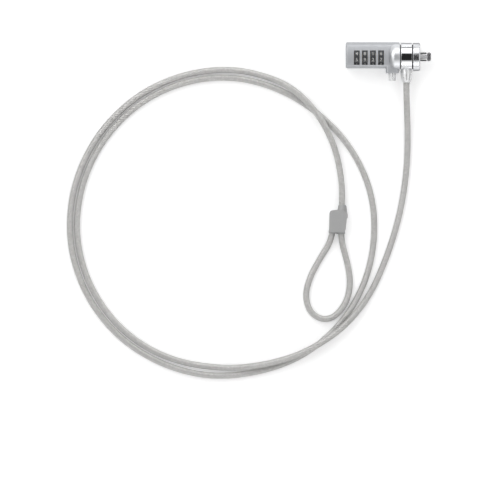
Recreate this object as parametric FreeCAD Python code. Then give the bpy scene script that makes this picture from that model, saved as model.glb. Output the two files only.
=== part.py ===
import FreeCAD, Part
import math
import os

# Combination cable lock for a notebook computer, in millimetres.
# Frame: the lock's axis is X, with the locking T-bar at the +X end.
# The origin is on that axis, at the nose face that meets the computer's case. +Z is up and the dials face it.

# ---- driving dimensions: stations along the axis ----
NOSE_BACK = -4.95
RING_FRONT = -5.55
RING_BACK = -13.15
COLLAR_FRONT = -13.7
CRADLE_FRONT = -14.2
COLLAR_BACK = -21.6
HOUSING_BACK = -48.8
CAP_BACK = -50.8
FLOOR = -10.0

# ---- round front end ----
HEAD_R = 9.6
BARREL_R = 7.1
BARREL_BACK = -16.2
BARREL_FRONT = -2.0
BARREL_BORE_R = 5.0
WEB_BACK, WEB_FRONT = -11.0, -9.0
RUNNING_FIT = 0.08
WASHER_R = 8.4
DOME_CENTRE_X, DOME_CENTRE_R, DOME_R = -17.2, 5.0, 4.6
GEAR_CAVITY_R = 7.3
GEAR_CAVITY_BACK = -20.9
NOSE_BORE_R = 3.55
NOSE_EDGE_R = 1.0
NOSE_PIN_R, NOSE_PIN_LENGTH, NOSE_PIN_X, NOSE_PIN_Z = 0.75, 4.0, -3.5, -9.3
GUARD_BACK = -3.2

# ---- dial housing section, Y and Z ----
SIDE_LEFT, SIDE_RIGHT = -7.7, 10.0
FRONT_TOP = 6.3
CROWN_TOP_Y, CROWN_RIGHT, CROWN_LEFT = 0.4, 4.3, 4.9
EDGE_ROUNDS = {
    (SIDE_RIGHT, CROWN_RIGHT): 4.5, (SIDE_LEFT, CROWN_LEFT): 3.0,
    (SIDE_RIGHT, FLOOR): 1.4, (SIDE_LEFT, FLOOR): 1.4,
}
END_ROUND = 1.1
CORE_R = 4.0
CORE_BACK = -45.9
CORE_SLOT_X, CORE_SLOT_HALF, CORE_SLOT_TOP = (-45.5, -24.0), 0.7, -1.9
RIVET_R, RIVET_LENGTH, RIVET_Y = 0.7, 3.5, (-5.4, 7.0)
RIVET_INSET = 1.2

# ---- reset screw in the end cap ----
SCREW_HEAD_R, SCREW_SHANK_R, SCREW_FLANGE_R = 2.42, 1.6, 2.2
SCREW_SEAT_DEPTH = 1.2
SCREW_FRONT = -48.0
COIN_SLOT_HALF, COIN_SLOT_DEPTH = 0.4, 0.7

# ---- dials ----
DIAL_X = (-43.4, -37.87, -32.34, -26.8)
DIAL_R = 6.7
DIAL_WIDTH = 3.5
DIAL_BORE_R = 5.4
NUMERALS = 10
GRIP_R, GRIP_CENTRE_R = 0.42, 6.8
POCKET_R = 6.95
WINDOW_WIDTH = 3.9
WINDOW_Y = (-5.6, 4.2)
COVER_TOP = -8.1
COVER_X = (-46.6, -23.6)
GATE_HALF, GATE_BOTTOM = 0.8, -4.85
LEAF_THICKNESS, FINGER_HALF, RIB_R, RIB_CENTRE_R = 0.3, 1.1, 0.3, 6.85
BAR_HALF, BAR_BOTTOM, BAR_TOP = 0.6, -3.3, -2.1
TAB_HALF, TAB_BOTTOM = 0.8, -3.9
DETENT_Y = (-1.8, 1.8)

# ---- T-bar spindle, pinion and rack ----
SPINDLE_R = 1.7
SPINDLE_REAR_R = 1.3
SPINDLE_STEP = -17.5
SPINDLE_BACK = -47.2
CLIP_GROOVE_X, CLIP_GROOVE_R = (-46.7, -46.2), 1.0
CLIP_R, CLIP_GAP_HALF, CLIP_SIDE_PLAY = 2.5, 0.7, 0.05
T_WIDTH, T_HEIGHT, T_BACK, T_FRONT = 6.1, 2.3, 4.7, 7.5
T_END_ROUND, T_RIM_ROUND = 1.2, 0.5
NECK_R, NECK_TIP_R, PRONG_LENGTH = 1.65, 1.15, 4.4
PRONG_Y, PRONG_HALF_HEIGHT = (1.85, 2.95), 1.15
SPRING_WIRE_R, SPRING_COIL_R, SPRING_PITCH, SPRING_TURNS, SPRING_BACK = 0.25, 2.35, 0.62, 5, -15.6
MODULE = 0.5
TEETH = 10
PITCH_R = MODULE * TEETH / 2
PRESSURE = math.radians(20)
PINION_TIP_R, PINION_ROOT_R = 2.95, 1.9
TOOTH_PITCH = math.pi * MODULE
RACK_ROOT, RACK_TIP = -PITCH_R - 0.55, -PITCH_R + 0.28

# ---- push button and its boss ----
BUTTON_X = -19.05
BUTTON_R, BUTTON_TIP_R = 2.6, 2.4
BUTTON_BORE_R = 2.66
BUTTON_TIP, BUTTON_ROOT, BUTTON_BACK = -16.4, -11.2, -9.0
BOSS_X = (-23.5, -14.6)
BOSS_Z = (-5.8, 5.2)
RACK_HALF_WIDTH = 1.4
RACK_BOTTOM, RACK_HEAD_TOP, RACK_HEAD_LENGTH, RACK_INNER_END = -4.9, 1.4, 1.2, 1.0
RACK_TOOTH_HALF_ROOT, RACK_TOOTH_HALF_TIP = 0.52, 0.23

# ---- cable ----
CABLE_R = 2.2
LAID = FLOOR + CABLE_R + 0.02
OVER = -3.15
SLEEVE_Z = -6.1
FERRULE_X = -9.35
FERRULE_MOUTH = -17.6
ANCHOR_FACE, ANCHOR_R, ANCHOR_LENGTH = -13.0, 3.0, 2.6
FERRULE_PROFILE = (
    (-7.7, 0), (-7.7, 4.05), (-11.5, 4.0), (-14.2, 3.75), (-16.3, 3.35), (-17.3, 3.0),
    (FERRULE_MOUTH, 2.7), (FERRULE_MOUTH, 0),
)
SPIGOT_R, SPIGOT_LENGTH, SPIGOT_START = 2.0, 3.0, -10.4

# The cable's route, as the corners of its straight runs. It leaves the swivel, crosses over itself, makes
# two turns side by side, crosses over again and ends in the eye. OVER is where it lies on its own strand.
ROUTE = (
    (FERRULE_X, ANCHOR_FACE, 0), (FERRULE_X, -27, 0), (-8.4, -46, -6.2), (-8.4, -68, LAID),
    (-10.4, -90, LAID), (-15.4, -115, LAID), (-24.4, -142, LAID), (-36.0, -166.6, LAID),
    (-54.0, -187.2, OVER), (-78, -202.3, OVER), (-104, -210.6, OVER), (-134, -214.0, LAID),
    (-171.4, -208.0, LAID), (-202.3, -190.0, LAID), (-224.7, -161.8, LAID), (-235.9, -127.5, LAID),
    (-233.7, -91.6, LAID), (-219.5, -58.9, LAID), (-195.6, -32.9, LAID), (-164.2, -16.9, LAID),
    (-129.5, -12.6, LAID), (-95.9, -21.3, LAID), (-68.4, -38.7, LAID), (-45.9, -62.7, LAID),
    (-31.7, -95.1, LAID), (-30.8, -131, LAID), (-40.7, -163.8, LAID), (-61.6, -192.2, LAID),
    (-93.2, -212.2, LAID), (-137, -220.3, LAID), (-173.3, -212.8, LAID), (-205.7, -193.7, LAID),
    (-229.2, -164.1, LAID), (-240.8, -128.2, LAID), (-238.6, -90.5, LAID), (-223.7, -56.3, LAID),
    (-198.6, -29.0, LAID), (-165.8, -12.1, LAID), (-129.3, -7.3, LAID), (-98.5, -14.9, LAID),
    (-81.0, -26.0, OVER), (-67.0, -43.0, OVER), (-57.6, -63, -6.6), (-53.2, -86, SLEEVE_Z),
    (-53.4, -107, SLEEVE_Z), (-54.2, -125, -6.4), (-50.1, -139, -7.6), (-47.6, -152, LAID),
    (-48.7, -163.0, LAID), (-52.3, -171.2, LAID), (-58.6, -178.1, LAID), (-65.6, -180.0, LAID),
    (-72.4, -177.3, LAID), (-77.0, -171.2, LAID), (-78.4, -161.5, LAID), (-74.8, -149.5, LAID),
    (-67.8, -137, LAID),
    (-59.9, -124.5, -6.6), (-58.9, -111.5, SLEEVE_Z),
)
ARC_SHARE = 0.45

# ---- moulded sleeve and the crimp inside it ----
SLEEVE_CENTRE = (-56.2, -112.4)
SLEEVE_SIZE = (12.0, 15.2, 7.8)
SLEEVE_TILT = -3.5
SLEEVE_CORNER, SLEEVE_RIM = 2.4, 1.5
NECK_TOP, NECK_X, NECK_LENGTH = -101.5, -53.35, 6.5
SLEEVE_NECK_TOP_R, SLEEVE_NECK_BASE_R = 2.85, 3.7
CRIMP_BOX = (-61.75, -51.05, -117.5, -111.5)
CRIMP_HALF_HEIGHT = 2.75


# ---- basic shapes ----
def vec(x, y, z):
    return FreeCAD.Vector(x, y, z)


def rod(radius, x_from, x_to, y=0.0, z=0.0):
    """A cylinder that lies along X."""
    return Part.makeCylinder(radius, x_to - x_from, vec(x_from, y, z), vec(1, 0, 0))


def pipe(outer_r, inner_r, x_from, x_to):
    return rod(outer_r, x_from, x_to).cut(rod(inner_r, x_from, x_to))


def block(x, y, z):
    """A box from three (low, high) pairs."""
    return Part.makeBox(x[1] - x[0], y[1] - y[0], z[1] - z[0], vec(x[0], y[0], z[0]))


def arc(start, middle, end):
    return Part.Arc(start, middle, end).toShape()


def line(start, end):
    return Part.LineSegment(start, end).toShape()


def turned(edges):
    """The solid made by turning a closed profile in the XY plane once about the X axis."""
    face = Part.Face(Part.Wire(edges))
    return face.revolve(vec(0, 0, 0), vec(1, 0, 0), 360)


def turned_outline(points):
    corners = [vec(x, radius, 0) for x, radius in points]
    return turned(Part.makePolygon(corners + corners[:1]).Edges)


def turned_about_y(points, centre_x):
    """The solid made by turning (y, radius) points about a line along Y."""
    corners = [vec(centre_x + radius, y, 0) for y, radius in points]
    face = Part.Face(Part.makePolygon(corners + corners[:1]))
    return face.revolve(vec(centre_x, 0, 0), vec(0, 1, 0), 360)


def edges_along(shape, direction):
    """The straight edges that run along a direction."""
    found = []
    for edge in shape.Edges:
        if isinstance(edge.Curve, Part.Line) and abs(edge.Curve.Direction.dot(direction)) > 0.999:
            found.append(edge)
    return found


def edges_at_x(shape, x):
    box_of = [(edge, edge.BoundBox) for edge in shape.Edges]
    return [edge for edge, box in box_of if abs(box.XMin - x) < 1e-4 and abs(box.XMax - x) < 1e-4]


def save(node, shape):
    shape.exportStep(f"parts/{node}.step")


# ---- round front end ----
def collar_dome():
    """The front collar's outer shape, from its hidden back to its front edge."""
    back_r = DOME_CENTRE_R + math.sqrt(DOME_R**2 - (DOME_CENTRE_X - COLLAR_BACK) ** 2)
    half = DOME_R / math.sqrt(2)
    rise = arc(
        vec(COLLAR_BACK, back_r, 0),
        vec(DOME_CENTRE_X - half, DOME_CENTRE_R + half, 0),
        vec(DOME_CENTRE_X, HEAD_R, 0),
    )
    return turned([
        line(vec(COLLAR_BACK, 0, 0), vec(COLLAR_BACK, back_r, 0)),
        rise,
        line(vec(DOME_CENTRE_X, HEAD_R, 0), vec(COLLAR_FRONT, HEAD_R, 0)),
        line(vec(COLLAR_FRONT, HEAD_R, 0), vec(COLLAR_FRONT, 0, 0)),
        line(vec(COLLAR_FRONT, 0, 0), vec(COLLAR_BACK, 0, 0)),
    ])


def button_passage():
    """The way the button and its rack need through the boss and the collar's side."""
    bore = Part.makeCylinder(BUTTON_BORE_R, 8, vec(BUTTON_X, -12, 0), vec(0, 1, 0))
    half = RACK_HALF_WIDTH + 0.1
    slot = block((BUTTON_X - half, BUTTON_X + half), (-9.15, -4), (-5.1, 1.6))
    return bore.fuse(slot)


def front_collar(dome):
    collar = dome.cut(rod(GEAR_CAVITY_R, GEAR_CAVITY_BACK, BARREL_BACK))
    collar = collar.cut(rod(BARREL_R, BARREL_BACK, COLLAR_FRONT))
    collar = collar.cut(rod(SPINDLE_REAR_R + RUNNING_FIT, COLLAR_BACK, GEAR_CAVITY_BACK))
    return collar.cut(button_passage())


def swivel_barrel():
    barrel = pipe(BARREL_R, BARREL_BORE_R, BARREL_BACK, BARREL_FRONT)
    web = pipe(BARREL_BORE_R + 0.5, SPINDLE_R + RUNNING_FIT, WEB_BACK, WEB_FRONT)
    return barrel.fuse(web).removeSplitter()


def nose_ring():
    edge = NOSE_EDGE_R
    half = edge * (1 - 1 / math.sqrt(2))
    round_edge = arc(vec(-edge, HEAD_R, 0), vec(-half, HEAD_R - half, 0), vec(0, HEAD_R - edge, 0))
    profile = [
        line(vec(0, HEAD_R - edge, 0), vec(0, NOSE_BORE_R, 0)),
        line(vec(0, NOSE_BORE_R, 0), vec(BARREL_FRONT, NOSE_BORE_R, 0)),
        line(vec(BARREL_FRONT, NOSE_BORE_R, 0), vec(BARREL_FRONT, BARREL_R, 0)),
        line(vec(BARREL_FRONT, BARREL_R, 0), vec(NOSE_BACK, BARREL_R, 0)),
        line(vec(NOSE_BACK, BARREL_R, 0), vec(NOSE_BACK, HEAD_R, 0)),
        line(vec(NOSE_BACK, HEAD_R, 0), vec(-edge, HEAD_R, 0)),
        round_edge,
    ]
    return turned(profile)


def nose_pin():
    """The cross pin that keeps the nose ring on the barrel."""
    return Part.makeCylinder(NOSE_PIN_R, NOSE_PIN_LENGTH, vec(NOSE_PIN_X, 0, NOSE_PIN_Z), vec(0, 0, 1))


def guard_plate():
    """A washer behind the nose with two prongs that fill the security slot beside the neck."""
    flange = rod(BARREL_BORE_R, GUARD_BACK, BARREL_FRONT)
    hub = rod(NOSE_BORE_R, BARREL_FRONT, -0.1)
    plate = flange.fuse(hub)
    for side in (-1, 1):
        ends = sorted(side * y for y in PRONG_Y)
        prong = block((-0.2, PRONG_LENGTH), ends, (-PRONG_HALF_HEIGHT, PRONG_HALF_HEIGHT))
        plate = plate.fuse(prong)
    return plate.removeSplitter().cut(rod(SPINDLE_R + RUNNING_FIT, -4, 0))


def washer(x_from, x_to):
    return pipe(WASHER_R, BARREL_R, x_from, x_to)


def swivel_ring():
    bevel = 0.3
    bore = BARREL_R + RUNNING_FIT
    return turned_outline((
        (RING_BACK, bore), (RING_BACK, HEAD_R - bevel), (RING_BACK + bevel, HEAD_R),
        (RING_FRONT - bevel, HEAD_R), (RING_FRONT, HEAD_R - bevel), (RING_FRONT, bore),
    ))


# ---- dial housing ----
def outer_block():
    """The outer shape of the dial housing and its end cap: flat below, with a crowned face above."""
    def at(y, z):
        return vec(CAP_BACK, y, z)

    edges = [
        line(at(SIDE_LEFT, FLOOR), at(SIDE_RIGHT, FLOOR)),
        line(at(SIDE_RIGHT, FLOOR), at(SIDE_RIGHT, CROWN_RIGHT)),
        arc(at(SIDE_RIGHT, CROWN_RIGHT), at(CROWN_TOP_Y, FRONT_TOP), at(SIDE_LEFT, CROWN_LEFT)),
        line(at(SIDE_LEFT, CROWN_LEFT), at(SIDE_LEFT, FLOOR)),
    ]
    outer = Part.Face(Part.Wire(edges)).extrude(vec(CRADLE_FRONT - CAP_BACK, 0, 0))
    for (y, z), radius in EDGE_ROUNDS.items():
        corner = Part.Vertex(at(y, z))
        edges = [edge for edge in edges_along(outer, vec(1, 0, 0)) if edge.distToShape(corner)[0] < 1e-4]
        outer = outer.makeFillet(radius, edges)
    return outer.makeFillet(END_ROUND, edges_at_x(outer, CAP_BACK))


def slice_of(shape, x_from, x_to):
    return shape.common(block((x_from, x_to), (-30, 30), (-30, 30)))


def button_boss():
    boss = block(BOSS_X, (BUTTON_ROOT, -4), BOSS_Z)
    boss = boss.makeFillet(1.6, edges_along(boss, vec(0, 1, 0)))
    outer = [edge for edge in boss.Edges if edge.BoundBox.YMax < BUTTON_ROOT + 1e-4]
    return boss.makeFillet(0.5, outer)


def cover_plate():
    return block(COVER_X, (SIDE_LEFT + 0.9, SIDE_RIGHT - 1.6), (FLOOR, COVER_TOP))


def rivets():
    """Four round rivets that hold the bottom cover."""
    pins = []
    for x in (COVER_X[0] + RIVET_INSET, COVER_X[1] - RIVET_INSET):
        for y in RIVET_Y:
            pins.append(Part.makeCylinder(RIVET_R, RIVET_LENGTH, vec(x, y, FLOOR + 0.1), vec(0, 0, 1)))
    return Part.makeCompound(pins)


def detent_channel():
    y = (DETENT_Y[0] - 0.2, DETENT_Y[1] + 0.2)
    return block((COVER_X[0] + 0.3, COVER_X[1] - 0.3), y, (COVER_TOP, -7.3))


def lock_housing(outer, dome):
    body = slice_of(outer, HOUSING_BACK, CRADLE_FRONT).fuse(button_boss()).removeSplitter()
    body = body.cut(dome).cut(button_passage())
    body = body.cut(rod(CORE_R, HOUSING_BACK, COLLAR_BACK))
    for x in DIAL_X:
        half = WINDOW_WIDTH / 2
        body = body.cut(rod(POCKET_R, x - half, x + half))
        body = body.cut(block((x - half, x + half), (-POCKET_R + 0.4, POCKET_R), (COVER_TOP, 0)))
        body = body.cut(block((x - half, x + half), WINDOW_Y, (0, FRONT_TOP + 1)))
    body = body.cut(cover_plate()).cut(detent_channel())
    return body.cut(rivets())


def end_cap(outer):
    cap = slice_of(outer, CAP_BACK, HOUSING_BACK)
    cap = cap.cut(rod(SCREW_HEAD_R + RUNNING_FIT, CAP_BACK, CAP_BACK + SCREW_SEAT_DEPTH))
    return cap.cut(rod(SCREW_SHANK_R + RUNNING_FIT, CAP_BACK, HOUSING_BACK))


def reset_screw():
    """The slotted screw in the end cap that a coin turns to set a new code."""
    seat, flange = CAP_BACK + SCREW_SEAT_DEPTH - 0.05, HOUSING_BACK + 0.1
    screw = rod(SCREW_HEAD_R, CAP_BACK + 0.1, seat)
    screw = screw.fuse(rod(SCREW_SHANK_R, seat, flange))
    screw = screw.fuse(rod(SCREW_FLANGE_R, flange, SCREW_FRONT)).removeSplitter()
    half = COIN_SLOT_HALF
    return screw.cut(block((CAP_BACK, CAP_BACK + COIN_SLOT_DEPTH), (-2, 2), (-half, half)))


# ---- dials ----
def number_dial(x):
    """A numbered wheel: its rim has a grip groove between each two numerals, and one groove is on top."""
    bevel = 0.3
    back, front = x - DIAL_WIDTH / 2, x + DIAL_WIDTH / 2
    dial = turned_outline((
        (back, DIAL_BORE_R), (back, DIAL_R - bevel), (back + bevel, DIAL_R),
        (front - bevel, DIAL_R), (front, DIAL_R - bevel), (front, DIAL_BORE_R),
    ))
    step = 2 * math.pi / NUMERALS
    for index in range(NUMERALS):
        y, z = GRIP_CENTRE_R * math.sin(step * index), GRIP_CENTRE_R * math.cos(step * index)
        dial = dial.cut(rod(GRIP_R, back, front, y, z))
    return dial


def code_wheel(x):
    """The brass wheel inside a dial, with one gate for the locking bar's tab."""
    back, front = x - DIAL_WIDTH / 2, x + DIAL_WIDTH / 2
    wheel = pipe(DIAL_BORE_R, CORE_R + RUNNING_FIT, back, front)
    return wheel.cut(block((back, front), (-GATE_HALF, GATE_HALF), (GATE_BOTTOM, -CORE_R + 0.5)))


def detent_spring():
    """A leaf spring on the bottom cover with one ribbed finger under each dial."""
    leaf_top = COVER_TOP + LEAF_THICKNESS
    leaf = block((COVER_X[0] + 0.5, COVER_X[1] - 0.5), DETENT_Y, (COVER_TOP, leaf_top))
    for x in DIAL_X:
        back, front = x - FINGER_HALF, x + FINGER_HALF
        leaf = leaf.fuse(block((back, front), (-RIB_R, RIB_R), (leaf_top - 0.1, -RIB_CENTRE_R)))
        leaf = leaf.fuse(rod(RIB_R, back, front, 0, -RIB_CENTRE_R))
    return leaf.removeSplitter()


def core_tube():
    """The fixed core that carries the dials, slotted below for the locking bar."""
    core = pipe(CORE_R, SPINDLE_REAR_R + RUNNING_FIT, CORE_BACK, COLLAR_BACK)
    half = CORE_SLOT_HALF
    return core.cut(block(CORE_SLOT_X, (-half, half), (-CORE_R - 0.1, CORE_SLOT_TOP)))


def locking_bar():
    """The sprung bar whose tabs fall into the gates of the code wheels."""
    width = (-BAR_HALF, BAR_HALF)
    bar = block((CORE_SLOT_X[0] + 0.2, CORE_SLOT_X[1] - 0.2), width, (BAR_BOTTOM, BAR_TOP))
    for x in DIAL_X:
        bar = bar.fuse(block((x - TAB_HALF, x + TAB_HALF), width, (TAB_BOTTOM, BAR_BOTTOM + 0.1)))
    return bar.removeSplitter()


# ---- spindle, pinion and rack ----
def t_bar_spindle():
    rear = rod(SPINDLE_REAR_R, SPINDLE_BACK, SPINDLE_STEP)
    rear = rear.cut(pipe(SPINDLE_REAR_R + 1, CLIP_GROOVE_R, *CLIP_GROOVE_X))
    shaft = rod(SPINDLE_R, SPINDLE_STEP, -0.1)
    neck = Part.makeCone(NECK_R, NECK_TIP_R, T_BACK + 0.2, vec(-0.1, 0, 0), vec(1, 0, 0))
    head = block((T_BACK, T_FRONT), (-T_WIDTH / 2, T_WIDTH / 2), (-T_HEIGHT / 2, T_HEIGHT / 2))
    head = head.makeFillet(T_END_ROUND, edges_along(head, vec(0, 0, 1)))
    rims = [edge for edge in head.Edges if edge.BoundBox.ZLength < 1e-4]
    head = head.makeFillet(T_RIM_ROUND, rims)
    return rear.fuse(shaft).fuse(neck).fuse(head).removeSplitter()


def retaining_clip():
    back, front = CLIP_GROOVE_X[0] + CLIP_SIDE_PLAY, CLIP_GROOVE_X[1] - CLIP_SIDE_PLAY
    clip = pipe(CLIP_R, CLIP_GROOVE_R + 0.02, back, front)
    return clip.cut(block((back - 1, front + 1), (-CLIP_GAP_HALF, CLIP_GAP_HALF), (0, 3)))


def involute(angle):
    return math.tan(angle) - angle


def tooth_half_angle(radius):
    """Half the angle that a pinion tooth fills at a radius, with a little backlash."""
    base_r = PITCH_R * math.cos(PRESSURE)
    roll = math.acos(min(1.0, base_r / radius))
    return math.radians(8.0) + involute(PRESSURE) - involute(roll)


def drive_pinion():
    x_from, x_to = BUTTON_X - RACK_HALF_WIDTH, BUTTON_X + RACK_HALF_WIDTH
    radii = (PINION_ROOT_R - 0.2, 2.2, 2.35, 2.5, 2.7, PINION_TIP_R)
    pinion = rod(PINION_ROOT_R, x_from, x_to)
    for index in range(TEETH):
        middle = 2 * math.pi * (index + 0.5) / TEETH - math.pi / 2
        one_side = [(radius, middle - tooth_half_angle(radius)) for radius in radii]
        other_side = [(radius, middle + tooth_half_angle(radius)) for radius in reversed(radii)]
        corners = [vec(x_from, r * math.cos(a), r * math.sin(a)) for r, a in one_side + other_side]
        tooth = Part.Face(Part.makePolygon(corners + corners[:1])).extrude(vec(x_to - x_from, 0, 0))
        pinion = pinion.fuse(tooth)
    return pinion.removeSplitter().cut(rod(SPINDLE_REAR_R, x_from, x_to))


def button_rack():
    x = (BUTTON_X - RACK_HALF_WIDTH, BUTTON_X + RACK_HALF_WIDTH)
    rack = block(x, (BUTTON_BACK, RACK_INNER_END), (RACK_BOTTOM, RACK_ROOT))
    rack = rack.fuse(block(x, (BUTTON_BACK, BUTTON_BACK + RACK_HEAD_LENGTH), (RACK_BOTTOM, RACK_HEAD_TOP)))
    root, tip = RACK_TOOTH_HALF_ROOT, RACK_TOOTH_HALF_TIP
    for index in range(-4, 1):
        y = index * TOOTH_PITCH
        outline = [(y - root, RACK_ROOT), (y - tip, RACK_TIP), (y + tip, RACK_TIP), (y + root, RACK_ROOT)]
        corners = [vec(x[0], *point) for point in outline]
        tooth = Part.Face(Part.makePolygon(corners + corners[:1])).extrude(vec(x[1] - x[0], 0, 0))
        rack = rack.fuse(tooth)
    end_cut = Part.makeBox(4, 2, 2, vec(x[0] - 0.5, 0, 0))
    end_cut.rotate(vec(x[0], 0, 0), vec(1, 0, 0), -45)
    end_cut.translate(vec(0, 0.2, RACK_BOTTOM))
    return rack.removeSplitter().cut(end_cut)


def push_button():
    return turned_about_y((
        (BUTTON_BACK, 0), (BUTTON_BACK, BUTTON_R), (BUTTON_ROOT - 0.1, BUTTON_R),
        (BUTTON_TIP + 0.35, BUTTON_TIP_R + 0.05), (BUTTON_TIP, BUTTON_TIP_R - 0.3), (BUTTON_TIP, 0),
    ), BUTTON_X)


def return_spring():
    """The torsion spring round the spindle that turns the T-bar back and sends the button out."""
    helix = Part.makeHelix(SPRING_PITCH, SPRING_PITCH * SPRING_TURNS, SPRING_COIL_R)
    section = Part.Wire(Part.makeCircle(SPRING_WIRE_R, vec(SPRING_COIL_R, 0, 0), vec(0, 1, 0)))
    coil = Part.Wire(helix.Edges).makePipeShell([section], True, True)
    coil.rotate(vec(0, 0, 0), vec(0, 1, 0), 90)
    coil.translate(vec(SPRING_BACK, 0, 0))
    return coil


# ---- cable and its end fittings ----
def rounded_path(route):
    """Straight runs joined by tangent arcs, each as large as its two runs allow."""
    points = [vec(*point) for point in route]
    edges, radii = [], []
    start = points[0]
    for before, corner, after in zip(points, points[1:], points[2:]):
        come, leave = corner - before, after - corner
        turn = come.getAngle(leave)
        reach = ARC_SHARE * min(come.Length, leave.Length)
        radius = reach / math.tan(turn / 2)
        way_in, way_out = come.normalize(), leave.normalize()
        arc_start, arc_end = corner - way_in * reach, corner + way_out * reach
        inward = (way_out - way_in).normalize()
        arc_middle = corner + inward * (radius / math.cos(turn / 2) - radius)
        edges += [line(start, arc_start), arc(arc_start, arc_middle, arc_end)]
        radii.append(radius)
        start = arc_end
    edges.append(line(start, points[-1]))
    return Part.Wire(edges), radii


def security_cable():
    path, radii = rounded_path(ROUTE)
    along = vec(*ROUTE[1]) - vec(*ROUTE[0])
    section = Part.Wire(Part.makeCircle(CABLE_R, vec(*ROUTE[0]), along))
    tube = path.makePipeShell([section], True, False)
    expected = math.pi * CABLE_R**2 * path.Length
    print("cable length", round(path.Length, 1), "volume ratio", round(tube.Volume / expected, 4))
    print("bend radii", [round(radius, 1) for radius in radii])
    return tube


def cable_ferrule(cable):
    outer = turned_about_y(FERRULE_PROFILE, FERRULE_X)
    ferrule = outer.cut(rod(HEAD_R, -16, 0))
    spigot = Part.makeCylinder(SPIGOT_R, SPIGOT_LENGTH, vec(FERRULE_X, SPIGOT_START, 0), vec(0, 1, 0))
    ferrule = ferrule.fuse(spigot.cut(rod(BARREL_R + 0.3, -16, 0))).removeSplitter()
    return ferrule.cut(cable_anchor()).cut(cable)


def cable_anchor():
    """The swaged stop on the cable's end, inside the ferrule."""
    return Part.makeCylinder(ANCHOR_R, ANCHOR_LENGTH, vec(FERRULE_X, ANCHOR_FACE, 0), vec(0, 1, 0))


def loop_crimp(cable):
    x_low, x_high, y_low, y_high = CRIMP_BOX
    z = (SLEEVE_Z - CRIMP_HALF_HEIGHT, SLEEVE_Z + CRIMP_HALF_HEIGHT)
    crimp = block((x_low, x_high), (y_low, y_high), z)
    crimp = crimp.makeFillet(2.5, edges_along(crimp, vec(0, 1, 0)))
    return crimp.cut(cable)


def loop_sleeve(cable, crimp):
    width, length, height = SLEEVE_SIZE
    x, y = SLEEVE_CENTRE
    body = block((x - width / 2, x + width / 2), (y - length / 2, y + length / 2), (FLOOR, FLOOR + height))
    body = body.makeFillet(SLEEVE_CORNER, edges_along(body, vec(0, 0, 1)))
    rims = [edge for edge in body.Edges if edge.BoundBox.ZLength < 1e-4]
    body = body.makeFillet(SLEEVE_RIM, rims)
    body.rotate(vec(x, y, 0), vec(0, 0, 1), SLEEVE_TILT)
    neck_start = vec(NECK_X, NECK_TOP, SLEEVE_Z)
    neck = Part.makeCone(SLEEVE_NECK_TOP_R, SLEEVE_NECK_BASE_R, NECK_LENGTH, neck_start, vec(0, -1, 0))
    return body.fuse(neck).removeSplitter().cut(cable).cut(crimp)


def main():
    os.makedirs("parts", exist_ok=True)
    dome = collar_dome()
    cable = security_cable()
    crimp = loop_crimp(cable)
    pin = nose_pin()
    ferrule = cable_ferrule(cable)

    save("security_cable", cable)
    save("loop_crimp", crimp)
    save("loop_sleeve", loop_sleeve(cable, crimp))
    save("cable_anchor", cable_anchor())
    save("cable_ferrule", ferrule)
    save("swivel_ring", swivel_ring().cut(ferrule))

    outer = outer_block()
    save("lock_housing", lock_housing(outer, dome))
    save("end_cap", end_cap(outer))
    save("bottom_cover", cover_plate().cut(rivets()))
    save("cover_rivets", rivets())
    save("front_collar", front_collar(dome))
    save("swivel_barrel", swivel_barrel().cut(pin))
    save("nose_ring", nose_ring().cut(pin))
    save("nose_pin", pin)
    save("guard_plate", guard_plate())
    save("rear_washer", washer(COLLAR_FRONT, RING_BACK - 0.05))
    save("front_washer", washer(RING_FRONT + 0.05, NOSE_BACK))
    save("core_tube", core_tube())
    save("locking_bar", locking_bar())
    save("detent_spring", detent_spring())
    save("return_spring", return_spring())
    save("reset_screw", reset_screw())

    save("t_bar_spindle", t_bar_spindle())
    save("drive_pinion", drive_pinion())
    save("retaining_clip", retaining_clip())
    save("push_button", push_button())
    save("button_rack", button_rack())
    for number, x in enumerate(DIAL_X, start=1):
        save(f"dial_{number}", number_dial(x))
        save(f"code_wheel_{number}", code_wheel(x))


main()
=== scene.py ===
"""The looks of a combination cable lock for a notebook computer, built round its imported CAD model.

Everything is in metres, Z up, in the CAD's own frame: the lock's axis is X, its T-bar points along +X and
its dials face +Z. Lengths that describe a shape are written in millimetres times MM.
"""

import logging
import math
from dataclasses import dataclass
from enum import Enum
from typing import Callable, Sequence

import bmesh
import bpy
from mathutils import Matrix, Vector


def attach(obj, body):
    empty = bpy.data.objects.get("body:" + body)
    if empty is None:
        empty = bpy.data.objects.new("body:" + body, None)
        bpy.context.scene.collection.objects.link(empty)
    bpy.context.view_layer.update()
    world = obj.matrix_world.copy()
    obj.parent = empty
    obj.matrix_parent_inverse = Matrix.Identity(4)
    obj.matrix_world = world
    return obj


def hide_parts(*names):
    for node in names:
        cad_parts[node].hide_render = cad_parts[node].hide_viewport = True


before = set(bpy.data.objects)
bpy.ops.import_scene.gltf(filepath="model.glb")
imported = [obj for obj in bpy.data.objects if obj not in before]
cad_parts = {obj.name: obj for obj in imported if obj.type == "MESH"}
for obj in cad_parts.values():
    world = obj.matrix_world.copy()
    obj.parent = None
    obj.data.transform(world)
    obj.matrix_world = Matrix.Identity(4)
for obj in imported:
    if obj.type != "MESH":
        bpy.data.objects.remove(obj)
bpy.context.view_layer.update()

LOG = logging.getLogger("cable_lock")
MM = 0.001
FULL_TURN = 2 * math.pi
FLOOR_Z = -10.0 * MM

Point = tuple[float, float, float]
Colour = tuple[float, float, float]
Outline = Sequence[tuple[float, float]]

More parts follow.
